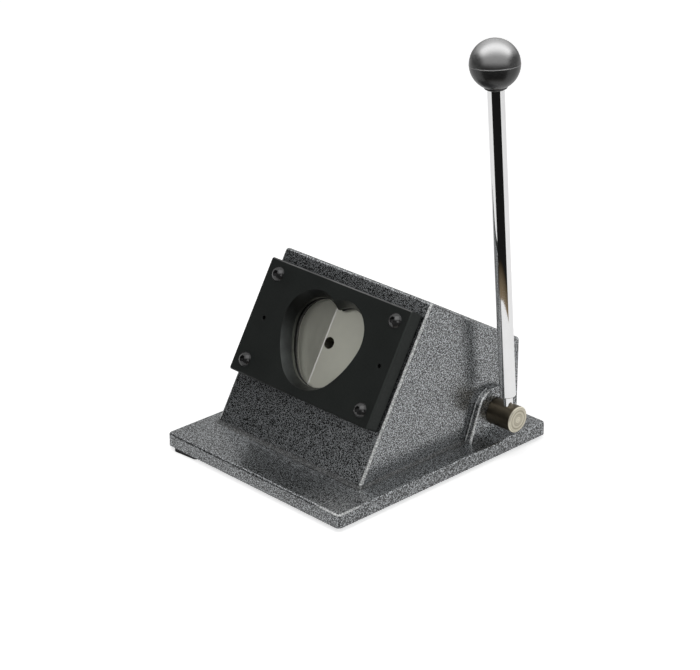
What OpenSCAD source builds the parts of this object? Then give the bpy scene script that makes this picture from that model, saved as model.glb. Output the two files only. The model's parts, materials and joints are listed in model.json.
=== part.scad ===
// Heart-shaped badge cutter: a bench punch with a lever, a cam and a heart die set.
// X runs across the machine, Y from front to back, Z up. The origin is on the table,
// under the middle of the whole machine, and the lever stands at rest.

/* [Base and feet] */
// Width of the base flange
base_w = 165; // [155:1:185]
// Depth of the base flange
base_d = 194; // [188:1:215]
// Thickness of the base flange
base_t = 9.5; // [8:0.5:13]
// Radius of the flange's corners
base_corner = 3; // [2.5:0.5:6]
// Rounding of the flange's upper edge
base_edge = 1.8; // [1:0.1:2.2]
// Length of a rubber foot along the front edge
foot_w = 21; // [14:1:22]
// Depth of a rubber foot
foot_d = 15; // [10:1:15]
// Height of a rubber foot
foot_h = 3; // [2:0.5:6]
// Radius of a foot's corners
foot_corner = 2.5; // [1:0.5:4]
// Distance of the front feet from the flange's sides
foot_front_side = 4.5; // [3:0.5:8]
// Distance of the front feet from the flange's front edge
foot_front_in = 5.5; // [5:0.5:9]
// Distance of the rear feet from the flange's sides and rear edge
foot_rear_in = 5; // [3:0.5:5]
// Turn of the front left foot, which is stuck on a little crooked
foot_turn = 5; // [0:0.5:8]
// How far the front left foot is stuck on ahead of the others
foot_ahead = 4.2; // [0:0.1:4.2]

/* [Housing] */
// Width of the housing over its side walls
housing_w = 137; // [135:1:140]
// How far the housing stands to the left of the base's middle
housing_left = 2.5; // [0:0.5:4]
// Front edge of the base to the foot of the sloped front wall
front_setback = 34; // [28:0.5:38]
// Slope of the front wall
front_angle = 59.5; // [58:0.5:61]
// Length of the front wall from the base up to the ridge
front_len = 127; // [125:0.5:132]
// Rear edge of the base to the rear wall
rear_setback = 10; // [7:0.5:12]
// Thickness of the front wall
front_t = 14; // [13:0.5:15]
// Thickness of the side walls and the rear wall
side_t = 7; // [5:0.5:7.5]
// Thickness of the sloped top
top_t = 8; // [5:0.5:9]
// Rounding of the housing's edges
housing_edge = 2.5; // [1.5:0.5:4]
// Radius of the blend between the walls and the base
foot_blend = 2.5; // [1.5:0.5:5]
// Radius of the raised pad round the shaft
pad_r = 17; // [15:0.5:19]
// Half width of the pad where it meets the base
pad_foot = 25; // [20:0.5:27]
// Height of the pad above the side wall
pad_t = 5.5; // [4.5:0.5:6.5]
// Thickness of the pad's lip that covers the end of the shaft bush
pad_lip = 3; // [2:0.5:3.5]

/* [Die set] */
// Width of the die plate
plate_w = 131; // [128:1:134]
// Height of the die plate, up the slope
plate_h = 80; // [78:1:84]
// Foot of the front wall to the lower edge of the die plate
plate_up = 37.4; // [34:0.2:40]
// How far the die set sits to the right of the housing's middle
plate_right = 0.3; // [-1:0.1:1]
// Thickness of the die plate
die_t = 10; // [8:0.5:12]
// Bevel round the die plate's front face
die_bevel = 0.8; // [0.3:0.1:1.2]
// Radius of the die plate's corners
die_corner = 1.6; // [1.5:0.1:4]
// Width of the paper slot behind the die plate
slot_t = 2; // [1.5:0.1:2.5]
// Width of a slot spacer
spacer_w = 17; // [14:0.5:18]
// Spacer set back from the die plate's edge
spacer_inset = 2.5; // [1:0.5:3]
// Radius of the window's two lobes at the front
lobe_r = 23.4; // [22.5:0.1:24]
// Distance of the lobe centres from the heart's axis
lobe_x = 12.3; // [11.5:0.1:13]
// Height of the lobe centres above the plate's middle
lobe_v = 7.7; // [6.5:0.1:8.5]
// Radius of the heart's sides
heart_side_r = 62; // [55:1:70]
// Angle below the horizontal where a lobe passes into a side
heart_side_from = 14; // [10:1:18]
// Depth of the heart's tip below the plate's middle
heart_tip = 33.6; // [32.5:0.1:34.5]
// How far the window opens on each side from the cutting edge to the front
relief = 3.5; // [2:0.1:4.5]
// Height of the straight cutting land at the back of the window
die_land = 2.5; // [1.5:0.1:4]
// Die screws from the plate's side edges
screw_in_x = 10.8; // [10:0.2:12]
// Die screws from the plate's upper and lower edges
screw_in_v = 9.6; // [9:0.2:11]
// Diameter of the die screws
screw_d = 6; // [5:0.5:6]
// Diameter of the dowel pins
pin_d = 3; // [2.5:0.5:4]
// Left dowel pin from the plate's edge
pin_in_left = 13.2; // [12.5:0.1:13.5]
// Right dowel pin from the plate's edge
pin_in_right = 9.3; // [9:0.1:11]
// Thickness of the punch guide plate
guide_t = 10; // [9:0.5:10.5]
// Width of the punch guide plate
guide_w = 96; // [94:0.5:97]
// Height of the punch guide plate
guide_h = 76; // [74:0.5:78]

/* [Ram and punch] */
// Travel of the punch from rest to the end of the cut
stroke = 12; // [11:0.5:12.5]
// Ridge of the punch behind the paper slot at rest
punch_recess = 0.5; // [0.3:0.1:1]
// Ridge of the punch from the heart's axis, to the left
ridge_left = 5.5; // [0:0.5:7]
// Slope of the punch's left face
left_shear = 3; // [2:0.5:6]
// Slope of the punch's right face
right_shear = 3; // [2:0.5:6]
// Length of the punch behind its ridge
punch_len = 24; // [23.5:0.5:26]
// Running clearance of the punch in its guide and die
punch_gap = 0.06; // [0.03:0.01:0.1]
// Width of the ram's column
ram_w = 60; // [52:1:64]
// Height of the ram's column
ram_h = 44; // [38:1:48]
// Width of the ram's crosshead
cross_w = 116; // [115:0.5:118]
// Height of the ram's crosshead
cross_h = 36; // [30:1:40]
// Thickness of the ram's crosshead
cross_t = 13; // [11:0.5:15]
// Thickness of the hardened cam pad
cam_pad_t = 4; // [3:0.5:5]
// Distance between the guide pillars
pillar_span = 104; // [103:0.5:105]
// Diameter of the guide pillars
pillar_d = 10; // [9:0.5:10]
// Wall of the sliding bushes
ram_bush_wall = 2; // [1.5:0.5:2.5]
// Wire of the return springs
spring_wire = 1.6; // [1.2:0.1:1.8]
// Turns of a return spring
spring_turns = 9; // [7:1:10]

/* [Shaft and lever] */
// Distance of the shaft behind the front wall's outer face
shaft_depth = 95.7; // [95:0.1:98]
// Diameter of the pivot shaft
shaft_d = 18; // [17:0.5:20]
// Running clearance of the shaft in its bushes
shaft_gap = 0.05; // [0.02:0.01:0.08]
// Wall of the shaft bushes
bush_wall = 3; // [2:0.5:3]
// Length of shaft that stands out of the right pad
shaft_reach = 20; // [18:0.5:24]
// Smallest radius of the cam
cam_r = 15; // [14.5:0.1:15.5]
// Width of the cam
cam_w = 22; // [16:1:26]
// Swing of the lever from rest to the end of the cut
lever_swing = 70; // [60:1:75]
// Forward lean of the lever at rest
lever_lean = 5.3; // [3:0.1:8]
// Lever axis from the end of the shaft
lever_in = 8.5; // [8:0.5:10]
// Diameter of the lever rod
rod_d = 10.8; // [10:0.1:12]
// Diameter of the rod's neck above the shaft
neck_d = 6.5; // [6:0.5:9]
// Shaft axis to the shoulder of the rod
neck_top = 15.5; // [14:0.5:18]
// Shaft axis to the middle of the ball knob
lever_len = 246.5; // [200:0.5:280]
// Diameter of the ball knob
ball_d = 32; // [28:0.5:36]
// Diameter of the knob's collar at the ball
collar_d = 15; // [14.5:0.5:17]
// Height of the knob's collar
collar_h = 1.6; // [1:0.1:3]

/* [Covers and fasteners] */
// Thickness of the bottom cover
cover_t = 1.5; // [1:0.5:2.5]
// Ledge that carries the bottom cover
cover_ledge = 5; // [4.5:0.5:6]
// Diameter of the small screws
small_screw_d = 3; // [2.5:0.5:3]

/* [Hidden] */

$fn = 64;
// Fineness of rounded edges on blended castings
edge_fn = 24;
// Overlap of cuts past a surface
cut = 1;
// Small gap between neighbours that only lie close
near = 0.3;

// Heights of the base
base_z = foot_h;
base_top = foot_h + base_t;

// The machine's middle, from the left edge of the base to the outside of the knob
house_x0 = -housing_left;
wall_right = house_x0 + housing_w / 2;
wall_left = house_x0 - housing_w / 2;
shaft_right = wall_right + pad_t + shaft_reach;
lever_x0 = shaft_right - lever_in;
reach_right = max(lever_x0 + ball_d / 2, shaft_right, base_w / 2);
origin_x = (reach_right - base_w / 2) / 2;

// Planes of the housing
front_y = front_setback - base_d / 2;
rear_y = base_d / 2 - rear_setback;
ridge_y = front_y + front_len * cos(front_angle);
ridge_z = base_top + front_len * sin(front_angle);
rear_z = ridge_z - (rear_y - ridge_y) / tan(front_angle);
inner_half = housing_w / 2 - side_t;

// Die plate and heart, measured from the plate's middle
plate_mid = plate_up + plate_h / 2;
plate_y = front_y + plate_mid * cos(front_angle);
plate_z = base_top + plate_mid * sin(front_angle);
ridge_v = front_len - plate_mid;
die_front = slot_t + die_t;
screw_x = plate_w / 2 - screw_in_x;
screw_v = plate_h / 2 - screw_in_v;
pin_x_left = pin_in_left - plate_w / 2;
pin_x_right = plate_w / 2 - pin_in_right;
pin_sunk = 4;
heart_side_c = [lobe_x, lobe_v] - (heart_side_r - lobe_r) * [cos(heart_side_from), -sin(heart_side_from)];
tip_rise = heart_side_c[1] + heart_tip;
tip_r = (pow(heart_side_r, 2) - pow(heart_side_c[0], 2) - pow(tip_rise, 2)) / (2 * (heart_side_r - tip_rise));
tip_c = [0, tip_r - heart_tip];
tip_from = atan2(tip_c[1] - heart_side_c[1], tip_c[0] - heart_side_c[0]);
heart_mid = (lobe_v + lobe_r - heart_tip) / 2;

// Guide plate, its opening in the wall and its screws
guide_fit = 0.1;
guide_rim_x = 6;
guide_rim_v = 3;
guide_opening_w = guide_w - 2 * guide_rim_x;
guide_opening_h = guide_h - 2 * guide_rim_v;
guide_opening_r = 12;
// Clearance of the guide plate round the screws, pins and studs beside it
guide_clear = 0.2;
guide_screw_x = guide_w / 2 - 5;
guide_screw_v = guide_h / 2 - 5;

// Ram, along the heart's axis; depths count outwards from the front wall
punch_ridge_n = -punch_recess;
punch_back_n = punch_ridge_n - punch_len;
pad_rear_n = cam_r - shaft_depth + cam_play();
cross_rear_n = pad_rear_n + cam_pad_t;
cross_front_n = cross_rear_n + cross_t;
ram_bore_d = pillar_d + 2 * ram_bush_wall;
pillar_collar_d = 15;
pillar_collar_t = 4;
pillar_stud_d = 7;
pillar_stud_len = 9.5;
pillar_gap = 0.05;
clip_t = 1.2;
clip_d = pillar_d + 5;
clip_groove = 0.8;
pillar_end_n = cross_rear_n - clip_t - near - 2;
spring_d = pillar_d + 1.4 + spring_wire;
spring_front_n = -front_t - pillar_collar_t - near;
spring_rear_n = cross_front_n + near;
punch_screw_d = 4;
punch_head_d = 7;
punch_head_h = 4;
punch_head_gap = 0.5;
punch_head_sunk = 8;
punch_screw_grip = 12;
punch_screw_at = [-1.3, 2.1, 0];
punch_dowel_d = 5;
punch_dowel_x = 18;
punch_dowel_len = 16;
cam_pad_w = 34;
cam_pad_h = 34;
pad_screw_v = 12;
pad_screw_len = 9;

// Cam with a steady rise, in millimetres per radian of lever swing
cam_rate = stroke / (lever_swing * PI / 180);
cam_overrun = 6;
cam_nose_r = 3;
cam_pin_d = 5;
function cam_play() = 0.1;

// Shaft and lever
shaft_y = plate_y + heart_mid * cos(front_angle) + shaft_depth * sin(front_angle);
shaft_z = plate_z + heart_mid * sin(front_angle) - shaft_depth * cos(front_angle);
bush_d = shaft_d + 2 * bush_wall;
ring_t = 1.2;
ring_d = shaft_d + 6;
ring_groove = 1;
shaft_left = wall_left - pad_t - near - ring_t - 2.5;
neck_sink = shaft_d * 0.3;
spigot_d = 8;
spigot_len = 14;
lip_gap = 0.3;
ball_flat = sqrt(pow(ball_d / 2, 2) - pow(collar_d / 2, 2));
knob_foot = lever_len - ball_flat - collar_h;
insert_d = 12;
insert_len = 16;

// Bottom cover
cavity_front_y = front_y + front_t / sin(front_angle);
cavity_rear_y = rear_y - side_t;
cover_corner = 36;
cover_gap = 0.2;
cover_screw_rows = 3;
cover_screw_len = 7;

// A point at an angle
function polar(r, a) = r * [cos(a), sin(a)];

// Points along an arc
function arc(c, r, a0, a1, n) = [for (i = [0:n]) c + polar(r, a0 + (a1 - a0) * i / n)];

// Right half of the heart from the notch to the tip, grown outwards by g
function heart_half(g) = concat(
    arc([lobe_x, lobe_v], lobe_r + g, acos(-lobe_x / (lobe_r + g)), -heart_side_from, 32),
    arc(heart_side_c, heart_side_r + g, -heart_side_from, tip_from, 6),
    arc(tip_c, tip_r + g, tip_from, -90, 12));

// A list without points that repeat the one before
function distinct(p) = [for (i = [0:len(p) - 1]) if (i == 0 || norm(p[i] - p[i - 1]) > 0.01) p[i]];

// The whole heart outline
function heart(g) = let (h = distinct(heart_half(g)), n = len(h))
    concat(h, [for (i = [n - 2:-1:1]) [-h[i][0], h[i][1]]]);

// Rounded rectangle between two corners
function round_rect(x0, y0, x1, y1, r, n = 6) = concat(
    arc([x1 - r, y1 - r], r, 0, 90, n), arc([x0 + r, y1 - r], r, 90, 180, n),
    arc([x0 + r, y0 + r], r, 180, 270, n), arc([x1 - r, y0 + r], r, 270, 360, n));

// Frame of the base: x from the middle of the base
module base_frame() {
    translate([-origin_x, 0, 0]) children();
}

// Frame of the front wall: x across, y up the slope, z straight out, from the plate's middle
module wall_frame() {
    base_frame() translate([house_x0 + plate_right, plate_y, plate_z]) rotate([front_angle, 0, 0]) children();
}

// Frame of the ram: the front wall's frame moved to the heart's middle
module ram_frame() {
    wall_frame() translate([0, heart_mid, 0]) children();
}

// Frame of the shaft: z runs along the shaft to the right, from the housing's middle
module shaft_frame() {
    base_frame() translate([house_x0, shaft_y, shaft_z]) rotate([0, 90, 0]) children();
}

// Frame of the lever: z runs up the lever from the shaft's axis
module lever_frame() {
    base_frame() translate([lever_x0, shaft_y, shaft_z]) rotate([lever_lean, 0, 0]) children();
}

// Copies on the left and on the right
module both_sides(x) {
    for (side = [-1, 1]) translate([side * x, 0, 0]) children();
}

// Copies at four corners
module four_corners(x, y) {
    for (i = [-1, 1], j = [-1, 1]) translate([i * x, j * y, 0]) children();
}

// Copies at the die plate's two dowel pins
module at_pins() {
    for (x = [pin_x_left, pin_x_right]) translate([x, 0, 0]) children();
}

// A cylinder between two heights
module rod(d, z0, z1) {
    translate([0, 0, min(z0, z1)]) cylinder(d = d, h = abs(z1 - z0));
}

// A block with its middle on the z axis, between two heights
module block(w, h, z0, z1) {
    translate([-w / 2, -h / 2, min(z0, z1)]) cube([w, h, abs(z1 - z0)]);
}

// A ring between two heights
module ring(d_out, d_in, z0, z1) {
    difference() {
        rod(d_out, z0, z1);
        rod(d_in, min(z0, z1) - cut, max(z0, z1) + cut);
    }
}

// Countersunk screw with its head flush at z = 0 and its shank going down
module flush_screw(d, l) {
    rotate_extrude() polygon([[0, 0], [d, 0], [d / 2, -d / 2], [d / 2, -l], [0, -l]]);
}

// Hexagonal socket for a key, going down from z = 0
module hex_socket(w, l) {
    translate([0, 0, -l]) cylinder(d = w / cos(30), h = l + cut, $fn = 6);
}

// The middle of a ring of points
function middle(p) = [for (i = [0:len(p)]) 1] * concat(p, [[0, 0, 0]]) / len(p);

// Solid through a list of rings with the same number of points, closed by fans at both ends
module loft(rings) {
    n = len(rings[0]);
    m = len(rings);
    sides = [for (j = [0:m - 2], i = [0:n - 1], t = [0, 1]) t == 0
        ? [j * n + i, (j + 1) * n + i, j * n + (i + 1) % n]
        : [j * n + (i + 1) % n, (j + 1) * n + i, (j + 1) * n + (i + 1) % n]];
    bottom = [for (i = [0:n - 1]) [i, (i + 1) % n, m * n]];
    top = [for (i = [0:n - 1]) [(m - 1) * n + (i + 1) % n, (m - 1) * n + i, m * n + 1]];
    points = concat([for (r = rings) each r], [middle(rings[0]), middle(rings[m - 1])]);
    polyhedron(points = points, faces = concat(sides, bottom, top));
}

// Base flange with rounded corners and a rounded upper edge
module base_flange() {
    hull() four_corners(base_w / 2 - base_corner, base_d / 2 - base_corner) {
        translate([0, 0, base_z]) cylinder(r = base_corner, h = base_t - base_edge, $fn = edge_fn);
        translate([0, 0, base_top - base_edge]) rotate_extrude($fn = edge_fn)
            translate([base_corner - base_edge, 0]) intersection() {
                circle(r = base_edge, $fn = edge_fn);
                translate([0, -base_edge]) square(2 * base_edge);
            }
    }
}

// Outside of the housing, with every edge rounded
module housing_outside() {
    r = housing_edge;
    up = [0, sin(front_angle), -cos(front_angle)] - [0, cos(front_angle), sin(front_angle)];
    slope = [0, cos(front_angle), sin(front_angle)];
    ridge = [0, ridge_y, ridge_z] + r * up;
    front = [0, front_y, base_top] + r * [0, sin(front_angle), -cos(front_angle)] - base_t / 2 * slope;
    rear_top = [0, rear_y - r, rear_z + r / tan(front_angle) - r / sin(front_angle)];
    rear = [0, rear_y - r, base_top - base_t / 2];
    hull() for (p = [front, ridge, rear_top, rear], x = [wall_left + r, wall_right - r])
        translate([x, p[1], p[2]]) sphere(r = r, $fn = edge_fn);
}

// Blend between the housing's walls and the base, as a loft that narrows upwards
module wall_blend() {
    steps = 6;
    function level(o, h) = [for (p = round_rect(wall_left - o, front_y + h / tan(front_angle) - o,
        wall_right + o, rear_y + o, housing_edge + max(o, 0), 5)) [p[0], p[1], base_top + h]];
    r = min(foot_blend, rear_setback - base_edge);
    loft(concat([level(r, -base_edge)],
        [for (i = [0:steps - 1]) let (t = 90 * i / steps) level(r * (1 - sin(t)), r * (1 - cos(t)))],
        [level(-housing_edge / 4, r)]));
}

// Outline of the raised pad: an arc round the shaft with straight flanks down to the base
function pad_outline(inset) = let (r = pad_r - inset, foot = pad_foot - inset, drop = shaft_z - base_top,
    reach = norm([foot, drop]), lean = acos(r / reach) - atan2(drop, foot))
    concat([[foot, -drop - cut]], arc([0, 0], r, lean, 180 - lean, 20), [[-foot, -drop - cut]]);

// Raised pad on a side wall, standing out along +z, with a rounded rim
module wall_pad() {
    hull() for (s = [[0, -2], [0, pad_t - 2], [0.6, pad_t - 0.6], [2, pad_t]])
        translate([0, 0, s[1] - 0.01]) linear_extrude(0.01) polygon(pad_outline(s[0]));
}

// Space inside the housing, open downwards
module housing_cavity() {
    s = sin(front_angle);
    c = cos(front_angle);
    inner_ridge = [ridge_y + front_t * s - top_t * c, ridge_z - front_t * c - top_t * s];
    roof_rear = inner_ridge[1] - (cavity_rear_y - inner_ridge[0]) * c / s;
    low = base_top;
    low_front = inner_ridge[0] - (inner_ridge[1] - low) * c / s;
    translate([house_x0 - inner_half, 0, 0]) rotate([90, 0, 90]) linear_extrude(2 * inner_half)
        polygon([[low_front, low], inner_ridge, [cavity_rear_y, roof_rear], [cavity_rear_y, low]]);
}

// Outline of the opening in the base, grown by g
module opening_shape(g) {
    half = inner_half + g;
    polygon(round_rect(house_x0 - half, cavity_front_y - g, house_x0 + half, cavity_rear_y + g,
        cover_corner - cover_ledge + g, 10));
}

// Copies at the bottom cover's screws, head side at z = 0 and the shank going up
module at_cover_screws() {
    start = cavity_front_y + cover_corner;
    run = (cavity_rear_y - cavity_front_y - 2 * cover_corner) / (cover_screw_rows - 1);
    for (i = [0:cover_screw_rows - 1], side = [-1, 1])
        translate([house_x0 + side * (inner_half + cover_ledge / 2), start + run * i, base_z])
            mirror([0, 0, 1]) children();
}

// Painted casting: base, walls, sloped top and the pads round the shaft
module body_casting() {
    color("dimgray") difference() {
        base_frame() union() {
            base_flange();
            wall_blend();
            housing_outside();
            translate([wall_right, shaft_y, shaft_z]) rotate([90, 0, 90]) wall_pad();
            translate([wall_left, shaft_y, shaft_z]) rotate([90, 0, -90]) wall_pad();
        }
        base_frame() housing_cavity();
        base_frame() translate([0, 0, base_z - cut]) linear_extrude(base_t + 2 * cut) opening_shape(-cover_gap);
        base_frame() translate([0, 0, base_z - cut]) linear_extrude(cut + cover_t) opening_shape(cover_ledge + cover_gap);
        base_frame() at_cover_screws() rod(small_screw_d, -cover_screw_len, 0);
        shaft_frame() rod(shaft_d + 2 * lip_gap, -base_w, base_w);
        shaft_frame() rod(bush_d, pad_lip - pad_t - housing_w / 2, housing_w / 2 + pad_t - pad_lip);
        wall_frame() {
            block(guide_w + 2 * guide_fit, guide_h + 2 * guide_fit, -guide_t, cut);
            translate([0, 0, -front_t - cut]) linear_extrude(front_t)
                polygon(round_rect(-guide_opening_w / 2, -guide_opening_h / 2,
                    guide_opening_w / 2, guide_opening_h / 2, guide_opening_r));
            four_corners(screw_x, screw_v) rod(screw_d, -front_t + 3, cut);
            four_corners(guide_screw_x, guide_screw_v) rod(small_screw_d, -front_t - cut, 0);
            at_pins() rod(pin_d, -3, cut);
        }
        ram_frame() both_sides(pillar_span / 2) rod(pillar_stud_d, -front_t - cut, -front_t + pillar_stud_len);
    }
}

// Steel sheet that closes the underside
module bottom_cover() {
    color("gray") base_frame() difference() {
        translate([0, 0, base_z]) linear_extrude(cover_t) opening_shape(cover_ledge);
        at_cover_screws() rotate_extrude()
            polygon([[0, cut], [small_screw_d, cut], [small_screw_d, 0], [small_screw_d / 2, -small_screw_d / 2],
                [small_screw_d / 2, -cover_t - cut], [0, -cover_t - cut]]);
    }
}

// Countersunk screws of the bottom cover
module cover_screws() {
    color("silver") base_frame() at_cover_screws() flush_screw(small_screw_d, cover_screw_len);
}

// Rubber foot under one corner of the base
module foot(side_x, side_y, in_x, in_y, turn = 0) {
    x = side_x * (base_w / 2 - in_x - foot_w / 2);
    y = side_y * (base_d / 2 - in_y - foot_d / 2);
    color("black") base_frame() translate([x, y, 0]) rotate(turn) linear_extrude(foot_h)
        polygon(round_rect(-foot_w / 2, -foot_d / 2, foot_w / 2, foot_d / 2, foot_corner));
}

// The heart outline as a ring of points at a height, counted anticlockwise
function heart_ring(g, z) = let (h = heart(g)) [for (i = [len(h) - 1:-1:0]) [h[i][0], h[i][1], z]];

// Blackened die plate with the heart window, which opens towards the front
module die_plate() {
    color("#222222") wall_frame() difference() {
        hull() for (b = [0, die_bevel]) translate([0, 0, slot_t]) linear_extrude(die_t - die_bevel + b)
            polygon(round_rect(b - plate_w / 2, b - plate_h / 2, plate_w / 2 - b, plate_h / 2 - b, die_corner - b));
        translate([0, 0, slot_t - cut]) linear_extrude(die_t) polygon(heart(-relief));
        loft([heart_ring(-relief, slot_t + die_land), heart_ring(0, die_front), heart_ring(0, die_front + cut)]);
        four_corners(screw_x, screw_v) rod(screw_d, slot_t - cut, die_front + cut);
        at_pins() rod(pin_d, slot_t - cut, die_front + cut);
    }
}

// Strip that keeps the paper slot open beside the heart
module slot_spacer(side) {
    x = plate_w / 2 - spacer_inset - spacer_w / 2;
    color("#333333") wall_frame() difference() {
        translate([side * x, 0, 0]) block(spacer_w, plate_h - 2 * spacer_inset, 0, slot_t);
        for (v = [-screw_v, screw_v]) translate([side * screw_x, v, 0]) rod(screw_d, -cut, slot_t + cut);
        at_pins() rod(pin_d, -cut, slot_t + cut);
    }
}

// Button-head socket screws of the die plate
module die_screws() {
    head_d = screw_d * 1.75;
    head_h = screw_d * 0.55;
    dome_r = (pow(head_d / 2, 2) + pow(head_h, 2)) / (2 * head_h);
    color("#2b2b2b") wall_frame() four_corners(screw_x, screw_v) difference() {
        union() {
            rod(screw_d, -front_t + 4, die_front);
            translate([0, 0, die_front]) intersection() {
                cylinder(d = head_d, h = head_h);
                translate([0, 0, head_h - dome_r]) sphere(r = dome_r);
            }
        }
        translate([0, 0, die_front + head_h]) hex_socket(screw_d * 0.667, head_h * 0.65);
    }
}

// Dowel pins that place the die plate
module die_pins() {
    color("silver") wall_frame() at_pins() rod(pin_d, -3, die_front - pin_sunk);
}

// Steel plate with the heart opening that guides the punch
module punch_guide() {
    color("lightgray") wall_frame() difference() {
        block(guide_w, guide_h, -guide_t, 0);
        translate([0, 0, -guide_t - cut]) linear_extrude(guide_t + 2 * cut) polygon(heart(-relief));
        four_corners(guide_screw_x, guide_screw_v) rotate_extrude()
            polygon([[0, cut], [small_screw_d, cut], [small_screw_d, 0], [small_screw_d / 2, -small_screw_d / 2],
                [small_screw_d / 2, -guide_t - cut], [0, -guide_t - cut]]);
        four_corners(screw_x, screw_v) rod(screw_d + 2 * guide_clear, -guide_t - cut, cut);
        at_pins() rod(pin_d + 2 * guide_clear, -guide_t - cut, cut);
        translate([0, heart_mid, 0]) both_sides(pillar_span / 2)
            rod(pillar_stud_d + 2 * guide_clear, -guide_t - cut, cut);
    }
}

// Countersunk screws of the punch guide
module guide_screws() {
    color("silver") wall_frame() four_corners(guide_screw_x, guide_screw_v)
        flush_screw(small_screw_d, front_t - 0.5);
}

// Pillar that the ram slides on, screwed into the front wall from inside
module guide_pillar(side) {
    color("silver") ram_frame() translate([side * pillar_span / 2, 0, 0]) difference() {
        union() {
            rod(pillar_stud_d, -front_t, -front_t + pillar_stud_len);
            rod(pillar_collar_d, -front_t - pillar_collar_t, -front_t);
            rod(pillar_d, pillar_end_n, -front_t);
        }
        ring(pillar_d + cut, pillar_d - 2 * clip_groove, cross_rear_n - near - clip_t, cross_rear_n - near);
    }
}

// Clips at the rear ends of the pillars
module pillar_clips() {
    color("gray") ram_frame() both_sides(pillar_span / 2)
        ring(clip_d, pillar_d - 2 * clip_groove, cross_rear_n - near - clip_t, cross_rear_n - near);
}

// Points along the middle of a spring's wire, from the front end to the rear end
function coil_path(r, z0, z1, turns, n) = [for (i = [0:turns * n]) let (t = i / (turns * n))
    [r * cos(360 * i / n), r * sin(360 * i / n), z0 + (z1 - z0) * t]];

// Compression spring round a pillar, one unbroken wire
module return_spring(side) {
    sides = 6;
    curl = 12;
    r = spring_d / 2;
    z0 = spring_front_n - spring_wire / 2;
    z1 = spring_rear_n + spring_wire / 2;
    path = coil_path(r, z0, z1, spring_turns, curl);
    rings = [for (i = [0:len(path) - 1]) let (a = 360 * i / curl, out = [cos(a), sin(a), 0])
        [for (k = [0:sides - 1]) path[i] + spring_wire / 2 * (cos(360 * k / sides) * out + sin(360 * k / sides) * [0, 0, 1])]];
    color("silver") ram_frame() translate([side * pillar_span / 2, 0, 0]) loft(rings);
}

// Bush of the shaft in a side wall
module shaft_bush(side) {
    z = housing_w / 2;
    color("goldenrod") shaft_frame()
        ring(bush_d, shaft_d + 2 * shaft_gap, side * (z - side_t), side * (z + pad_t - pad_lip));
}

// Heart-shaped punch with two sloped faces that meet in a ridge
module heart_punch() {
    half = lobe_x + lobe_r + cut;
    left_n = punch_ridge_n - (half - ridge_left) * tan(left_shear);
    right_n = punch_ridge_n - (half + ridge_left) * tan(right_shear);
    color("gainsboro") wall_frame() difference() {
        intersection() {
            translate([0, 0, punch_back_n]) linear_extrude(punch_len + cut) polygon(heart(-relief - punch_gap));
            rotate([90, 0, 0]) linear_extrude(4 * half, center = true)
                polygon([[-half, left_n], [-half, punch_back_n - cut], [half, punch_back_n - cut],
                    [half, right_n], [-ridge_left, punch_ridge_n]]);
        }
        translate([0, heart_mid, 0]) {
            translate(punch_screw_at) rod(punch_screw_d, punch_back_n - cut, 0);
            translate(punch_screw_at) rod(punch_head_d + 2 * punch_head_gap, -punch_head_sunk - punch_head_h, cut);
            both_sides(punch_dowel_x) rod(punch_dowel_d, punch_back_n - cut, punch_back_n + punch_dowel_len / 2);
        }
    }
}

// Socket screw that holds the punch on the ram
module punch_screw() {
    seat = -punch_head_sunk - punch_head_h;
    color("#2b2b2b") ram_frame() translate(punch_screw_at) difference() {
        union() {
            rod(punch_screw_d, punch_back_n - punch_screw_grip, seat);
            rod(punch_head_d, seat, seat + punch_head_h);
        }
        translate([0, 0, seat + punch_head_h]) hex_socket(punch_head_d / 2, punch_head_h / 2);
    }
}

// Dowels between punch and ram
module punch_dowels() {
    color("silver") ram_frame() both_sides(punch_dowel_x)
        rod(punch_dowel_d, punch_back_n - punch_dowel_len / 2, punch_back_n + punch_dowel_len / 2);
}

// Ram: a column behind the punch and a crosshead on the two pillars
module ram_block() {
    color("slategray") ram_frame() difference() {
        union() {
            block(ram_w, ram_h, cross_front_n, punch_back_n);
            block(cross_w, cross_h, cross_rear_n, cross_front_n);
        }
        both_sides(pillar_span / 2) rod(ram_bore_d, cross_rear_n - cut, cross_front_n + cut);
        translate(punch_screw_at) rod(punch_screw_d, punch_back_n - punch_screw_grip, punch_back_n + cut);
        both_sides(punch_dowel_x) rod(punch_dowel_d, punch_back_n - punch_dowel_len / 2, punch_back_n + cut);
        for (v = [-pad_screw_v, pad_screw_v]) translate([0, v, 0])
            rod(small_screw_d, cross_rear_n - cut, cross_rear_n - cam_pad_t + pad_screw_len);
    }
}

// Sliding bush in the crosshead
module ram_bush(side) {
    color("goldenrod") ram_frame() translate([side * pillar_span / 2, 0, 0])
        ring(ram_bore_d, pillar_d + 2 * pillar_gap, cross_rear_n, cross_front_n);
}

// Hardened pad that the cam presses on
module cam_pad() {
    color("darkgray") ram_frame() difference() {
        block(cam_pad_w, cam_pad_h, pad_rear_n, cross_rear_n);
        for (v = [-pad_screw_v, pad_screw_v]) translate([0, v, pad_rear_n]) mirror([0, 0, 1]) rotate_extrude()
            polygon([[0, cut], [small_screw_d, cut], [small_screw_d, 0], [small_screw_d / 2, -small_screw_d / 2],
                [small_screw_d / 2, -cam_pad_t - cut], [0, -cam_pad_t - cut]]);
    }
}

// Countersunk screws of the cam pad
module pad_screws() {
    color("silver") ram_frame() for (v = [-pad_screw_v, pad_screw_v])
        translate([0, v, pad_rear_n]) mirror([0, 0, 1]) flush_screw(small_screw_d, pad_screw_len);
}

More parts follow.
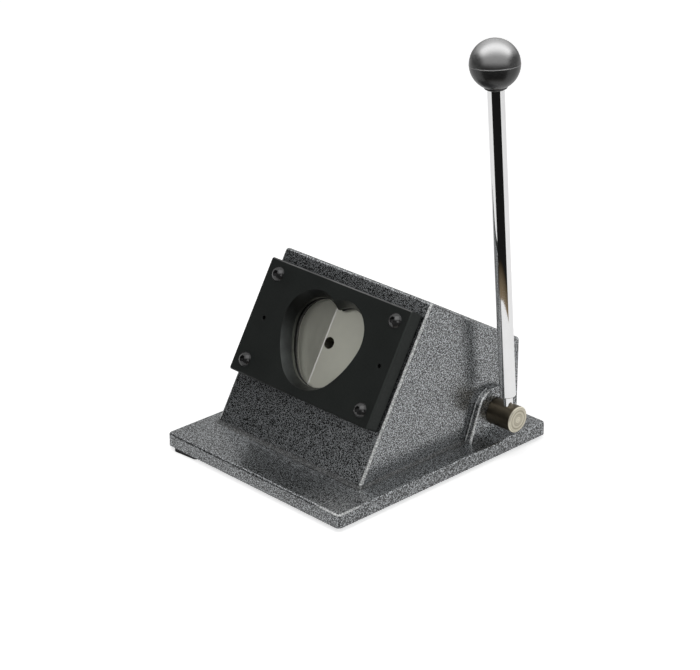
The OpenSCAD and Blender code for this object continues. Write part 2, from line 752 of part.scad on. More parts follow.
// Shaft across the housing, with the seat of the lever, two ring grooves and the cam's pin hole
module pivot_shaft() {
    right_ring = wall_right - side_t - near - ring_t;
    left_ring = wall_left - pad_t - near - ring_t;
    color("#5a4a3c") difference() {
        shaft_frame() rod(shaft_d, shaft_left - house_x0, shaft_right - house_x0);
        lever_frame() rod(neck_d, -neck_sink, shaft_d);
        shaft_frame() for (x = [right_ring, left_ring])
            ring(shaft_d + cut, shaft_d - 2 * ring_groove, x - house_x0, x + ring_t - house_x0);
        ram_frame() translate([0, 0, -shaft_depth]) rotate([90, 0, 0]) rod(cam_pin_d, -shaft_d, shaft_d);
    }
}

// Retaining rings that keep the shaft in place
module shaft_rings() {
    right_ring = wall_right - side_t - near - ring_t;
    left_ring = wall_left - pad_t - near - ring_t;
    color("gray") shaft_frame() for (x = [right_ring, left_ring])
        ring(ring_d, shaft_d - 2 * ring_groove, x - house_x0, x + ring_t - house_x0);
}

// Cam outline in the ram's frame: the first number counts up the slope, the second outwards
function cam_point(a) = let (h = cam_r + cam_rate * a * PI / 180)
    [h * sin(a) + cam_rate * cos(a), h * cos(a) - cam_rate * sin(a)];
function cam_outline() = let (last = lever_swing + cam_overrun, n = 24, end = cam_point(last),
    nose = end - cam_nose_r * [sin(last), cos(last)], reach = norm(nose),
    back = last + (180 - last) * 0.5 + 40)
    concat([[0, cam_r]], [for (i = [0:n]) cam_point(last * i / n)],
        [for (i = [1:6]) let (a = last + (back - last) * i / 6) nose + cam_nose_r * [sin(a), cos(a)]],
        [for (a = [back + 10:10:350]) cam_r * [sin(a), cos(a)]]);

// Drive cam, pinned to the shaft
module drive_cam() {
    color("darkslategray") ram_frame() translate([0, 0, -shaft_depth]) difference() {
        rotate([90, 0, 90]) linear_extrude(cam_w, center = true) polygon(cam_outline());
        rotate([0, 90, 0]) rod(shaft_d, -cam_w, cam_w);
        rotate([90, 0, 0]) rod(cam_pin_d, -2 * cam_r, 2 * cam_r);
    }
}

// Pin through cam and shaft
module cam_pin() {
    color("silver") ram_frame() translate([0, 0, -shaft_depth]) rotate([90, 0, 0]) rod(cam_pin_d, -cam_r, cam_r - 1);
}

// Chromed rod with a neck for the shaft and a spigot for the knob
module lever_rod() {
    color("whitesmoke") lever_frame() union() {
        rod(neck_d, -neck_sink, neck_top + cut);
        rod(rod_d, neck_top, knob_foot);
        rod(spigot_d, knob_foot - cut, knob_foot + spigot_len);
    }
}

// Ball knob with a thin collar
module ball_knob() {
    color("#1a1a1a") lever_frame() difference() {
        union() {
            translate([0, 0, lever_len]) sphere(d = ball_d);
            translate([0, 0, knob_foot]) cylinder(d1 = collar_d - 1.6, d2 = collar_d, h = collar_h + 0.2);
        }
        rod(insert_d, knob_foot - cut, knob_foot + insert_len);
    }
}

// Threaded insert in the knob
module knob_insert() {
    color("goldenrod") lever_frame() difference() {
        rod(insert_d, knob_foot, knob_foot + insert_len);
        rod(spigot_d, knob_foot - cut, knob_foot + spigot_len);
    }
}

body_casting();
bottom_cover();
cover_screws();
foot(-1, -1, foot_front_side, foot_front_in - foot_ahead, foot_turn);  // foot_front_left
foot(1, -1, foot_front_side, foot_front_in);  // foot_front_right
foot(-1, 1, foot_rear_in, foot_rear_in);  // foot_rear_left
foot(1, 1, foot_rear_in, foot_rear_in);  // foot_rear_right
die_plate();
slot_spacer(-1);  // slot_spacer_left
slot_spacer(1);  // slot_spacer_right
die_screws();
die_pins();
punch_guide();
guide_screws();
guide_pillar(-1);  // guide_pillar_left
guide_pillar(1);  // guide_pillar_right
pillar_clips();
return_spring(-1);  // return_spring_left
return_spring(1);  // return_spring_right
shaft_bush(-1);  // shaft_bush_left
shaft_bush(1);  // shaft_bush_right
heart_punch();
punch_screw();
punch_dowels();
ram_block();
ram_bush(-1);  // ram_bush_left
ram_bush(1);  // ram_bush_right
cam_pad();
pad_screws();
pivot_shaft();
shaft_rings();
drive_cam();
cam_pin();
lever_rod();
ball_knob();
knob_insert();
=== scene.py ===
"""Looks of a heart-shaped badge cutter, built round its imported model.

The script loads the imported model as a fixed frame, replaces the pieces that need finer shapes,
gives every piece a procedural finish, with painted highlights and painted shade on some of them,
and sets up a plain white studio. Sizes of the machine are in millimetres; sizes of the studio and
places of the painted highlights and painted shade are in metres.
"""

import json
import math

import bmesh
import bpy
from mathutils import Matrix, Vector
from mathutils.geometry import tessellate_polygon


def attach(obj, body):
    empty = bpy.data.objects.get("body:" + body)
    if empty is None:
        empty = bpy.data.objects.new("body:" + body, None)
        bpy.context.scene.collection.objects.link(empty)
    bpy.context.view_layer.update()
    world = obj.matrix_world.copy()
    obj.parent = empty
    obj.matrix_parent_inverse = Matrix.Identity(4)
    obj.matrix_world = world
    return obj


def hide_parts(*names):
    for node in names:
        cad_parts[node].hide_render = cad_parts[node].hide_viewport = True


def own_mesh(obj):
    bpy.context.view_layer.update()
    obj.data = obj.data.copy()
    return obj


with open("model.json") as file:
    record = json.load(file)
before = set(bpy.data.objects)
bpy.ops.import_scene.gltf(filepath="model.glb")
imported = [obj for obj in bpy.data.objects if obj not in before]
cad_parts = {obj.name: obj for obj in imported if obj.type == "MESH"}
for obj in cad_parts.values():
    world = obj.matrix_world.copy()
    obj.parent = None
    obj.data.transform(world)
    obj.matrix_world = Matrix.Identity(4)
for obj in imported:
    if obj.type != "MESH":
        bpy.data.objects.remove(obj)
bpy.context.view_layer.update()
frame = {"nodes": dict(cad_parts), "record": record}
nodes = frame["nodes"]

MM = 0.001
WHITE, BLACK = (1, 1, 1, 1), (0, 0, 0, 1)

# Camera: direction, distance and aim of the view
CAMERA_AZIMUTH = math.radians(45.881)
CAMERA_ELEVATION = math.radians(23.639)
CAMERA_DISTANCE = 1470.32 * MM
CAMERA_AIM = Vector((-8.25, -5.5, 58.0)) * MM
CAMERA_SIDE_STEP = -1.192 * MM
CAMERA_RISE = 21.149 * MM
CAMERA_LENS_MM, CAMERA_SENSOR_MM, CAMERA_CLIP_END = 114.356, 36, 50

# Front wall: its slope, and the die plate on it with its holes
FRONT_ANGLE = math.radians(59.5)
PLATE_UP_SLOPE = 77.4
WALL_FOOT = Vector((-10.45, -63.0, 12.5))
PLATE_W, PLATE_H, PLATE_CORNER = 131.0, 80.0, 1.6
SLOT_T, DIE_T, DIE_BEVEL = 2.0, 10.0, 0.8
SCREW_X, SCREW_V = 54.7, 30.4
PIN_LEFT, PIN_RIGHT = -52.3, 56.2
SCREW_D, PIN_D, PIN_CHAMFER, HOLE_STEPS = 6.0, 3.0, 0.15, 24

# Heart outline of the window's front edge, measured from the middle of the plate, and the
# smaller cutting edge behind it
LOBE_R, LOBE_X, LOBE_V = 23.4, 12.3, 7.7
SIDE_R, SIDE_FROM = 62.0, -14.0
HEART_TIP = -33.6
LOBE_STEPS, SIDE_STEPS, TIP_STEPS = 48, 12, 20
RELIEF, LAND = 3.5, 2.5
# Broken front edge of the window: growth of the outline below and at the face, and its depth
LIP_BELOW, LIP_FACE, LIP_DEPTH = -0.12, 0.15, 0.3

# Punch: its ridge, its slopes and its screw hole; depths count outwards from the front wall
RIDGE_X, RIDGE_N, RIDGE_W = -5.5, -0.5, 1.0
SHEAR = math.tan(math.radians(3.0))
PUNCH_BACK, PUNCH_GAP = -24.5, 0.06
PUNCH_HOLE, PUNCH_HOLE_R, PUNCH_HOLE_FLOOR, PUNCH_HOLE_STEPS = (-1.3, 0.85), 4.0, -12.0, 40
# Lengths below which two places count as one, in the outline and in the finished mesh
SAME, MERGE = 1e-9, 1e-4

# Return springs round the guide pillars
SPRING_X, SPRING_V, SPRING_R, WIRE_R = 52.0, -1.25, 6.5, 0.8
SPRING_FRONT, SPRING_REAR, SPRING_TURNS = -18.3, -63.3, 9
TURN_STEPS, WIRE_STEPS = 24, 10

# Lever: the shaft's axis, and lengths along the rod from it
SHAFT_AXIS = Vector((74.75, 58.107, 29.542))
SHAFT_R, SHAFT_LEFT, SHAFT_RIGHT, SHAFT_CHAMFER = 9.0, -88.75, 83.25, 0.8
RING_GROOVES, GROOVE_DEPTH = ((-86.25, -85.05), (49.25, 50.45)), 1.0
LEVER_LEAN = math.radians(5.3)
NECK_R, ROD_R, SPIGOT_R = 3.25, 5.4, 4.0
NECK_FOOT, NECK_TOP, SPIGOT_LEN = -5.4, 15.5, 14.0
SHOULDER_R, SHOULDER_STEPS = 1.0, 6
BALL_MIDDLE, BALL_R = 246.5, 16.0
COLLAR_R, COLLAR_H = 7.5, 1.6
KNOB_FOOT = BALL_MIDDLE - math.sqrt(BALL_R**2 - COLLAR_R**2) - COLLAR_H
# Outline of the collar: change of its radius, and height above its foot
COLLAR_OUTLINE = ((-1.0, 0.0), (-0.2, 0.5), (0.0, 0.9), (-0.2, COLLAR_H))
# The moulded ball sits a little askew: the normal of its parting line, how far that lies below the
# middle and stands out, and half the height of the faces along it that carry a painted highlight
SEAM_NORMAL, SEAM_DROP, SEAM_OUT, SEAM_BAND = Vector((-0.067, 0.083, 0.994)), 0.15, 0.12, 0.25
# Half the width of that line at its crest and its foot, and the last ring of the ball, in degrees
SEAM_CREST, SEAM_FOOT, BALL_POLE = 0.3, 0.9, 87
BALL_STEPS_LOW, BALL_STEPS_HIGH = 40, 44
LATHE_STEPS, COLLAR_STEPS = 96, 72

# Steepest edge that is shaded smooth, in degrees, for most finer pieces, the die plate, the punch
# and the CAD solids, and the distance in metres within which corners of the solids are joined
SMOOTH, DIE_SMOOTH, PUNCH_SMOOTH, CAD_SMOOTH = 35, 18, 2, 32
CAD_MERGE = 2e-6

# Painted highlights and painted shade on the paint. Each pair is where a mask is 0 and where it is
# 1. Directions are shares of the surface's normal, and places are in metres
FRONT_NORMAL = (0.0, -math.sin(FRONT_ANGLE), math.cos(FRONT_ANGLE))
# Painted highlight, as paint rubbed pale, on the roundings between the sides and the sloped front,
# above the foot of the walls
EDGE_FROM, EDGE_TO, EDGE_SLOPE = (0.27, 0.44), (0.96, 0.88), (0.2, 0.35)
EDGE_ABOVE = (0.0155, 0.0170)
# The painted highlight runs down to the base on edges that face forwards, and on the front flanks
# of the pads, outside the walls; along the middle of a flank most of it is left out, which paints
# it as a double line
FORWARD, FLANK_FROM, FLANK_ABOVE = (0.20, 0.35), (0.0688, 0.0693), (0.0130, 0.0140)
FLANK_MIDDLE, FLANK_GAP, FLANK_GAP_SHARE = 0.0711, (0.0018, 0.0008), 0.8
# Front corner of the base: a painted highlight on its edge, and a weaker painted sheen on the top
# round it
CORNER, CORNER_REACH = (0.0742, -0.0970, 0.0120), (0.028, 0.010)
CORNER_FROM, CORNER_TO = (0.25, 0.45), (0.985, 0.93)
SHEEN_REACH, SHEEN_UP, SHEEN_SHARE = (0.055, 0.0), (0.90, 0.99), 0.45
# Painted shade, as darker and rougher paint, in the fillet at the foot of the walls, and in its
# steeper part beside them
FOOT_FROM, FOOT_TO = (0.01245, 0.01255), (0.0160, 0.0150)
FILLET_FROM, FILLET_TO = (0.50, 0.62), (0.995, 0.97)
BESIDE_UP, BESIDE_SIDE, BESIDE_FORWARD = (0.12, 0.25), (0.3, 0.5), (0.30, 0.15)
# Painted shade, darker paint, on the sides of the base below its upper edge
SKIRT, SKIRT_SHARE = (0.0122, 0.0112), 0.30

# Hammer paint: fineness and cover of its flakes and the softness of their edges, and the colours of
# pits and flakes in fresh paint, under the painted highlight and under the painted shade
FLAKE_SCALE, FLAKE_COVER, FLAKE_SOFT = 1300.0, 0.53, 0.03
PAINT_PIT, PAINT_FLAKE = (0.005, 0.006, 0.006, 1), (0.52, 0.54, 0.555, 1)
HIGHLIGHT_PIT, HIGHLIGHT_FLAKE = (0.42, 0.43, 0.43, 1), (0.97, 0.98, 0.97, 1)
SHADE_FLAKE = (0.15, 0.155, 0.156, 1)
# Metallic share of the flakes and the change that the painted highlight makes to it, roughness of
# fresh paint and of paint under the painted shade, and strength and depth of the film's relief
FLAKE_METAL, HIGHLIGHT_METAL = 0.85, -0.8
PAINT_ROUGH, SHADE_ROUGH = 0.25, 0.5
PAINT_BUMP = (0.2, 0.0003)

# Turned face: colours, roughness and relief of its rings, and their fineness
TURNED_DARK, TURNED_PALE = (0.30, 0.27, 0.20, 1), (0.74, 0.70, 0.58, 1)
TURNED_ROUGH, TURNED_BUMP, TURNED_SCALE = (0.45, 0.30), (0.3, 0.0002), 900.0
# Other metals and black finishes: stretch of the grinding lines, fineness of the slow patches in
# metal and in black, depth of the fine relief, and the part of a noise that is spread over a range
GRIND_STRETCH, METAL_PATCHES, BLACK_PATCHES = (1.0, 0.04, 0.04), 45.0, 40.0
FINE_DEPTH, NOISE_PART = 0.0001, (0.3, 0.7)
# Tints of grays
STEEL_TINT, WINDOW_TINT = (0.9, 1, 0.95), (0.94, 1, 0.97)
PUNCH_TINT, RIDGE_TINT, HOLE_TINT = (1, 1, 0.87), (1, 0.98, 0.93), (1, 0.97, 0.8)

# Lamps with name, place, size and power, and the point that they face
LAMPS = (("overhead", (0.25, -0.28, 1.1), 0.9, 3.4), ("front", (1.27, -0.93, 0.64), 0.50, 1.6))
LAMP_AIM = Vector((0, 0, 0.08))
# Strength of the white surround, as light on the object and as what is seen
SURROUND_LIGHT, SURROUND_SEEN = 0.4, 1.0
# Floor: half its width, its gray, roughness and glow, and the change of its glow in reflections
FLOOR_HALF, FLOOR_GRAY, FLOOR_ROUGH, FLOOR_GLOW, FLOOR_SHINE = 4, 0.8, 0.9, 0.65, -0.22

# Dark half of the room on the camera's side, with angles counted from the camera's direction. Its
# floor is brown where it begins, and fades to dark
ROOM_FLOOR, ROOM_WALL, ROOM_BACK = (-66, 54), (-125, 50), (140, 222)
ROOM_NEAR, ROOM_BROWN, ROOM_FAR, ROOM_HEIGHT = 0.170, 0.225, 2.0, 1.6
ROOM_LIFT, ROOM_STEPS = 0.0005, 40
# Gray card in front of the wall, which the punch shows; the back of the room is as gray
CARD_SPAN, CARD_LOW, CARD_HIGH, CARD_FAR = (-86, -66), 0.55, 1.40, 1.95
DARK_SLOT, CARD_SLOT, BROWN_SLOT = range(3)
DARK_GLOW, CARD_GLOW, BROWN_GLOW, BROWN = 0.01, 0.55, 0.24, (1.0, 0.76, 0.48, 1)
# Only what lies farther than this from the brown floor reflects it
BROWN_BEYOND = 0.12

# Canopy over the ball: its radius, and the glow of its rim, its cloth and the soft box overhead
CANOPY_R, CANOPY_RIM, CANOPY_CLOTH, CANOPY_BOX = 0.12, 0.4, 4.0, 12.0
# Cloth and box begin and end between angles that are counted from the camera's horizon over the
# top, and fade towards the sides between two shares of the radius
CLOTH_FROM, CLOTH_TO, BOX_FROM, BOX_TO = (3, 24), (176, 120), (45, 86), (130, 92)
CANOPY_SIDES = (0.92, 0.72)
CANOPY_TOP, CANOPY_RINGS, CANOPY_STEPS = 88, 30, 64
# Only what lies as near to the canopy as the ball does reflects it
CANOPY_REACH = CANOPY_R + 0.025


def wall_matrix():
    """From the plate's own millimetres (across, up the slope, outwards) to the shared frame."""
    up = Vector((0, math.cos(FRONT_ANGLE), math.sin(FRONT_ANGLE)))
    middle = (WALL_FOOT + up * PLATE_UP_SLOPE) * MM
    turn = Matrix.Rotation(FRONT_ANGLE, 4, "X")
    return Matrix.Translation(middle) @ turn @ Matrix.Scale(MM, 4)


def lever_matrix():
    """From millimetres along the lever to the shared frame."""
    turn = Matrix.Rotation(LEVER_LEAN, 4, "X")
    return Matrix.Translation(SHAFT_AXIS * MM) @ turn @ Matrix.Scale(MM, 4)


# Outlines


def arc(cx, cy, r, a0, a1, steps):
    """Points of an arc, angles in degrees."""
    angles = [math.radians(a0 + (a1 - a0) * i / steps) for i in range(steps + 1)]
    return [(cx + r * math.cos(a), cy + r * math.sin(a)) for a in angles]


def circle(cx, cy, r, steps):
    return arc(cx, cy, r, 0, 360, steps)[:-1]


def round_rect(w, h, r, steps=6):
    """Rounded rectangle about the origin."""
    x, y = w / 2 - r, h / 2 - r
    return (arc(x, y, r, 0, 90, steps) + arc(-x, y, r, 90, 180, steps)
            + arc(-x, -y, r, 180, 270, steps) + arc(x, -y, r, 270, 360, steps))


def heart(grow):
    """Heart outline grown outwards: two lobes, two long sides and a rounded tip."""
    a = math.radians(SIDE_FROM)
    sx = LOBE_X - (SIDE_R - LOBE_R) * math.cos(a)
    sy = LOBE_V - (SIDE_R - LOBE_R) * math.sin(a)
    rise = sy - HEART_TIP
    tip_r = (SIDE_R**2 - sx**2 - rise**2) / (2 * (SIDE_R - rise))
    tip_y = HEART_TIP + tip_r
    tip_from = math.degrees(math.atan2(tip_y - sy, -sx))
    notch = math.degrees(math.acos(-LOBE_X / (LOBE_R + grow)))
    half = arc(LOBE_X, LOBE_V, LOBE_R + grow, notch, SIDE_FROM, LOBE_STEPS)
    half += arc(sx, sy, SIDE_R + grow, SIDE_FROM, tip_from, SIDE_STEPS)[1:]
    half += arc(0, tip_y, tip_r + grow, tip_from, -90, TIP_STEPS)[1:]
    return half + [(-x, y) for x, y in half[-2:0:-1]]


# Meshes


def finish_mesh(name, bm, matrix, smooth_angle=SMOOTH):
    """Makes a piece from a bmesh in its own units, smooth across gentle edges."""
    bm.transform(matrix)
    bmesh.ops.recalc_face_normals(bm, faces=bm.faces)
    mesh = bpy.data.meshes.new(name)
    bm.to_mesh(mesh)
    bm.free()
    for face in mesh.polygons:
        face.use_smooth = True
    mesh.set_sharp_from_angle(angle=math.radians(smooth_angle))
    piece = bpy.data.objects.new(name, mesh)
    bpy.context.scene.collection.objects.link(piece)
    return piece


def add_ring(bm, points, z):
    return [bm.verts.new((x, y, z)) for x, y in points]


def add_face(bm, corners):
    """Face with corners of its own."""
    return bm.faces.new([bm.verts.new(c) for c in corners])


def skin(bm, low, high):
    """Quads between two rings with the same number of points."""
    n = len(low)
    return [bm.faces.new((low[i], low[(i + 1) % n], high[(i + 1) % n], high[i])) for i in range(n)]


def cap(bm, rings):
    """Flat face with holes: the first ring is the outline, the others are holes."""
    flat = [v for ring in rings for v in ring]
    loops = [[v.co for v in ring] for ring in rings]
    return [bm.faces.new([flat[i] for i in tri]) for tri in tessellate_polygon(loops)]


def plate(bm, outline, holes):
    """Plate between its rings, which are lists of (points, z) from back to front.

    Gives the faces of its walls, first round the outline and then in each hole.
    """
    backs, fronts, walls = [], [], []
    for rings in [outline] + holes:
        made = [add_ring(bm, points, z) for points, z in rings]
        walls.append([f for a, b in zip(made, made[1:]) for f in skin(bm, a, b)])
        backs.append(made[0])
        fronts.append(made[-1])
    cap(bm, backs)
    cap(bm, fronts)
    return walls


def lathe(bm, profile, steps=LATHE_STEPS):
    """Turned solid about z from (radius, z) points; a radius of 0 closes an end."""
    rings = []
    for r, z in profile:
        if r == 0:
            rings.append([bm.verts.new((0, 0, z))])
        else:
            rings.append(add_ring(bm, circle(0, 0, r, steps), z))
    for a, b in zip(rings, rings[1:]):
        for i in range(steps):
            j = (i + 1) % steps
            corners = [a[i % len(a)], a[j % len(a)], b[j % len(b)], b[i % len(b)]]
            unique = list(dict.fromkeys(corners))
            if len(unique) > 2:
                bm.faces.new(unique)


# Nodes of materials


def material(name, **plain):
    """New material with a Principled shader and its plain values."""
    mat = bpy.data.materials.new(name)
    mat.use_nodes = True
    shader = mat.node_tree.nodes["Principled BSDF"]
    for socket, value in plain.items():
        shader.inputs[socket.replace("_", " ")].default_value = value
    return mat, mat.node_tree, shader


def feed(tree, shader, **outputs):
    """Links outputs of nodes to the shader's sockets."""
    for socket, output in outputs.items():
        tree.links.new(output, shader.inputs[socket.replace("_", " ")])


def node(tree, kind, inputs=None, **settings):
    """New node; inputs maps a socket to a value or to the output that feeds it."""
    made = tree.nodes.new(kind)
    for key, value in settings.items():
        setattr(made, key, value)
    for key, value in (inputs or {}).items():
        if isinstance(value, bpy.types.NodeSocket):
            tree.links.new(value, made.inputs[key])
        else:
            made.inputs[key].default_value = value
    return made


def calc(tree, operation, *values, clamp=False):
    """Output of a math node."""
    return node(tree, "ShaderNodeMath", dict(enumerate(values)), operation=operation,
                use_clamp=clamp).outputs[0]


def vector_calc(tree, operation, *values):
    """Output of a vector math node: a number where the operation gives one, or else a vector."""
    made = node(tree, "ShaderNodeVectorMath", dict(enumerate(values)), operation=operation)
    gives_number = operation in ("DOT_PRODUCT", "DISTANCE", "LENGTH")
    return made.outputs["Value" if gives_number else "Vector"]


def ramp(tree, value, low, high):
    """Smooth mask that is 0 at low and 1 at high."""
    limits = {"Value": value, "From Min": low, "From Max": high}
    return node(tree, "ShaderNodeMapRange", limits,
                interpolation_type="SMOOTHSTEP").outputs["Result"]


def span(tree, value, low, high):
    """Spreads the middle part of a noise over a range."""
    limits = {"Value": value, "From Min": NOISE_PART[0], "From Max": NOISE_PART[1],
              "To Min": low, "To Max": high}
    return node(tree, "ShaderNodeMapRange", limits).outputs["Result"]


def noise(tree, inputs, **settings):
    return node(tree, "ShaderNodeTexNoise", inputs, **settings).outputs["Fac"]


def mix_colors(tree, factor, first, second):
    """Mixed colour; the numbers are the sockets of the node's colour mode."""
    made = node(tree, "ShaderNodeMix", {0: factor, 6: first, 7: second}, data_type="RGBA")
    return made.outputs[2]


def bump(tree, height, strength, distance):
    relief = {"Height": height, "Strength": strength, "Distance": distance}
    return node(tree, "ShaderNodeBump", relief).outputs["Normal"]


def place(tree):
    """Coordinates of the piece itself, in metres."""
    return node(tree, "ShaderNodeTexCoord").outputs["Object"]


def gray(value, tint=(1, 1, 1)):
    return (value * tint[0], value * tint[1], value * tint[2], 1)


# Shared effects


def group(name, inputs, outputs):
    """New shader node group; gives its tree and the sockets that its nodes link to."""
    tree = bpy.data.node_groups.new(name, "ShaderNodeTree")
    for in_out, sockets in (("INPUT", inputs), ("OUTPUT", outputs)):
        for socket, kind in sockets.items():
            tree.interface.new_socket(name=socket, in_out=in_out, socket_type="NodeSocket" + kind)
    source, result = tree.nodes.new("NodeGroupInput"), tree.nodes.new("NodeGroupOutput")
    return tree, source.outputs, result.inputs


def place_group(tree, which, inputs):
    """Outputs of a group that is placed in a material."""
    return node(tree, "ShaderNodeGroup", inputs, node_tree=which).outputs


def hammer_group():
    """Hammer paint: pale flakes between dark pits, and the height of the film."""
    tree, source, result = group("Hammer pattern",
                                 {"Vector": "Vector", "Scale": "Float", "Cover": "Float"},
                                 {"Flake": "Float", "Height": "Float"})
    fine = noise(tree, {"Vector": source["Vector"], "Scale": source["Scale"],
                        "Detail": 1.5, "Roughness": 0.45, "Distortion": 0.6})
    low = calc(tree, "SUBTRACT", source["Cover"], FLAKE_SOFT)
    high = calc(tree, "ADD", source["Cover"], FLAKE_SOFT)
    tree.links.new(ramp(tree, fine, low, high), result["Flake"])
    tree.links.new(fine, result["Height"])
    return tree


def grind_group():
    """Fine lines of a ground face, and slow patches over them."""
    tree, source, result = group("Grinding lines",
                                 {"Vector": "Vector", "Lines": "Float", "Patches": "Float"},
                                 {"Line": "Float", "Patch": "Float"})
    stretched = vector_calc(tree, "MULTIPLY", source["Vector"], GRIND_STRETCH)
    lines = noise(tree, {"Vector": stretched, "Scale": source["Lines"],
                         "Detail": 3.0, "Roughness": 0.6})
    patches = noise(tree, {"Vector": source["Vector"], "Scale": source["Patches"], "Detail": 4.0})
    tree.links.new(lines, result["Line"])
    tree.links.new(patches, result["Patch"])
    return tree


def edge_group():
    """Masks of painted highlights on edges and corners, and of painted shade at the foot and on the
    base's sides.
    """
    tree, source, result = group("Painted edge light and shade", {"Vector": "Vector", "Normal": "Vector"},
                                 {"Painted highlight": "Float", "Foot": "Float"})

    def mask(value, limits):
        return ramp(tree, value, *limits)

    def combine(operation, *values):
        total = values[0]
        for value in values[1:]:
            total = calc(tree, operation, total, value)
        return total

    def all_of(*masks):
        return combine("MULTIPLY", *masks)

    def any_of(*masks):
        return combine("MAXIMUM", *masks)

    def without(value):
        return calc(tree, "SUBTRACT", 1.0, value)

    def away_from(value, middle=0.0):
        return calc(tree, "ABSOLUTE", calc(tree, "SUBTRACT", value, middle))

    facing = node(tree, "ShaderNodeSeparateXYZ", {0: source["Normal"]}).outputs
    spot = node(tree, "ShaderNodeSeparateXYZ", {0: source["Vector"]}).outputs
    side, upward, height = away_from(facing["X"]), facing["Z"], spot["Z"]
    forward = calc(tree, "MULTIPLY", facing["Y"], -1.0)
    slope = vector_calc(tree, "DOT_PRODUCT", source["Normal"], FRONT_NORMAL)
    ahead, skirt = mask(forward, FORWARD), mask(height, SKIRT)

    # Painted highlight on rounded edges, on edges that face forwards and on the pads' front flanks
    rounded = all_of(mask(side, EDGE_FROM), mask(side, EDGE_TO), mask(slope, EDGE_SLOPE),
                     any_of(mask(height, EDGE_ABOVE), ahead), without(skirt))
    across = away_from(spot["X"], WALL_FOOT.x * MM)
    gap = all_of(mask(away_from(across, FLANK_MIDDLE), FLANK_GAP), FLANK_GAP_SHARE)
    flank = all_of(mask(across, FLANK_FROM), ahead, mask(height, FLANK_ABOVE), without(gap))
    # Painted highlight on the base's front corner, and a weaker painted sheen on the top round it
    reach = vector_calc(tree, "DISTANCE", source["Vector"], CORNER)
    corner = all_of(mask(reach, CORNER_REACH), mask(upward, CORNER_FROM), mask(upward, CORNER_TO))
    corner_sheen = all_of(mask(reach, SHEEN_REACH), mask(upward, SHEEN_UP), SHEEN_SHARE)
    tree.links.new(any_of(rounded, flank, corner, corner_sheen), result["Painted highlight"])

    # Painted shade in the fillet at the foot of the walls
    beside = all_of(mask(upward, BESIDE_UP), mask(side, BESIDE_SIDE), mask(forward, BESIDE_FORWARD))
    fillet = all_of(any_of(mask(upward, FILLET_FROM), beside), mask(upward, FILLET_TO))
    foot = all_of(fillet, mask(height, FOOT_FROM), mask(height, FOOT_TO))
    # Painted shade on the base's sides joins that at the foot
    tree.links.new(any_of(foot, all_of(skirt, SKIRT_SHARE)), result["Foot"])
    return tree


HAMMER = hammer_group()
GRIND = grind_group()
EDGE = edge_group()


def edge_light_and_shade(tree):
    """Places the masks of painted edge highlights and painted shade in a material."""
    normal = node(tree, "ShaderNodeNewGeometry").outputs["Normal"]
    return place_group(tree, EDGE, {"Vector": place(tree), "Normal": normal})


# Finishes


def hammer_paint():
    """Speckled paint, with painted highlights along edges and painted shade at the foot of the
    walls and on the base's sides.
    """
    mat, tree, shader = material("hammer_paint", Coat_Weight=0.3, Coat_Roughness=0.12)
    pattern = place_group(tree, HAMMER, {"Vector": place(tree), "Scale": FLAKE_SCALE,
                                         "Cover": FLAKE_COVER})
    edges = edge_light_and_shade(tree)
    flake, painted_highlight, foot = pattern["Flake"], edges["Painted highlight"], edges["Foot"]
    fresh = mix_colors(tree, flake, PAINT_PIT, PAINT_FLAKE)
    # Colours of the painted highlight on edges: pale pits and flakes, less metallic
    edge_highlight = mix_colors(tree, flake, mix_colors(tree, painted_highlight, PAINT_PIT, HIGHLIGHT_PIT), HIGHLIGHT_FLAKE)
    # Colours of the painted shade: darker flakes at the foot of the walls and on the base's sides
    shaded_paint = mix_colors(tree, flake, PAINT_PIT, SHADE_FLAKE)
    metal = calc(tree, "MULTIPLY_ADD", painted_highlight, HIGHLIGHT_METAL, FLAKE_METAL)
    feed(tree, shader,
         Base_Color=mix_colors(tree, foot, mix_colors(tree, painted_highlight, fresh, edge_highlight), shaded_paint),
         Metallic=calc(tree, "MULTIPLY", flake, metal),
         Roughness=span(tree, foot, PAINT_ROUGH, SHADE_ROUGH),
         Normal=bump(tree, pattern["Height"], *PAINT_BUMP))
    return mat


def turned_face():
    """Turned end of the shaft: fine rings round its axis."""
    mat, tree, shader = material("turned_face", Metallic=1.0, Anisotropic=0.7)
    round_axis = node(tree, "ShaderNodeTangent", direction_type="RADIAL", axis="X")
    apart = vector_calc(tree, "SUBTRACT", place(tree), tuple(SHAFT_AXIS * MM))
    radius = vector_calc(tree, "LENGTH", vector_calc(tree, "MULTIPLY", apart, (0.0, 1.0, 1.0)))
    rings = noise(tree, {"W": radius, "Scale": TURNED_SCALE, "Detail": 2.0}, noise_dimensions="1D")
    feed(tree, shader, Tangent=round_axis.outputs[0],
         Base_Color=mix_colors(tree, span(tree, rings, 0, 1), TURNED_DARK, TURNED_PALE),
         Roughness=span(tree, rings, *TURNED_ROUGH), Normal=bump(tree, rings, *TURNED_BUMP))
    return mat


def ground_metal(name, dark, pale, roughness, lines=900.0, metallic=1.0, strength=0.08):
    """Metal with fine lines in its shine and slow patches in its colour."""
    mat, tree, shader = material(name, Metallic=metallic)
    grind = place_group(tree, GRIND, {"Vector": place(tree), "Lines": lines,
                                      "Patches": METAL_PATCHES})
    feed(tree, shader,
         Base_Color=mix_colors(tree, span(tree, grind["Patch"], 0, 1), dark, pale),
         Roughness=span(tree, grind["Line"], *roughness),
         Normal=bump(tree, grind["Line"], strength, FINE_DEPTH))
    return mat


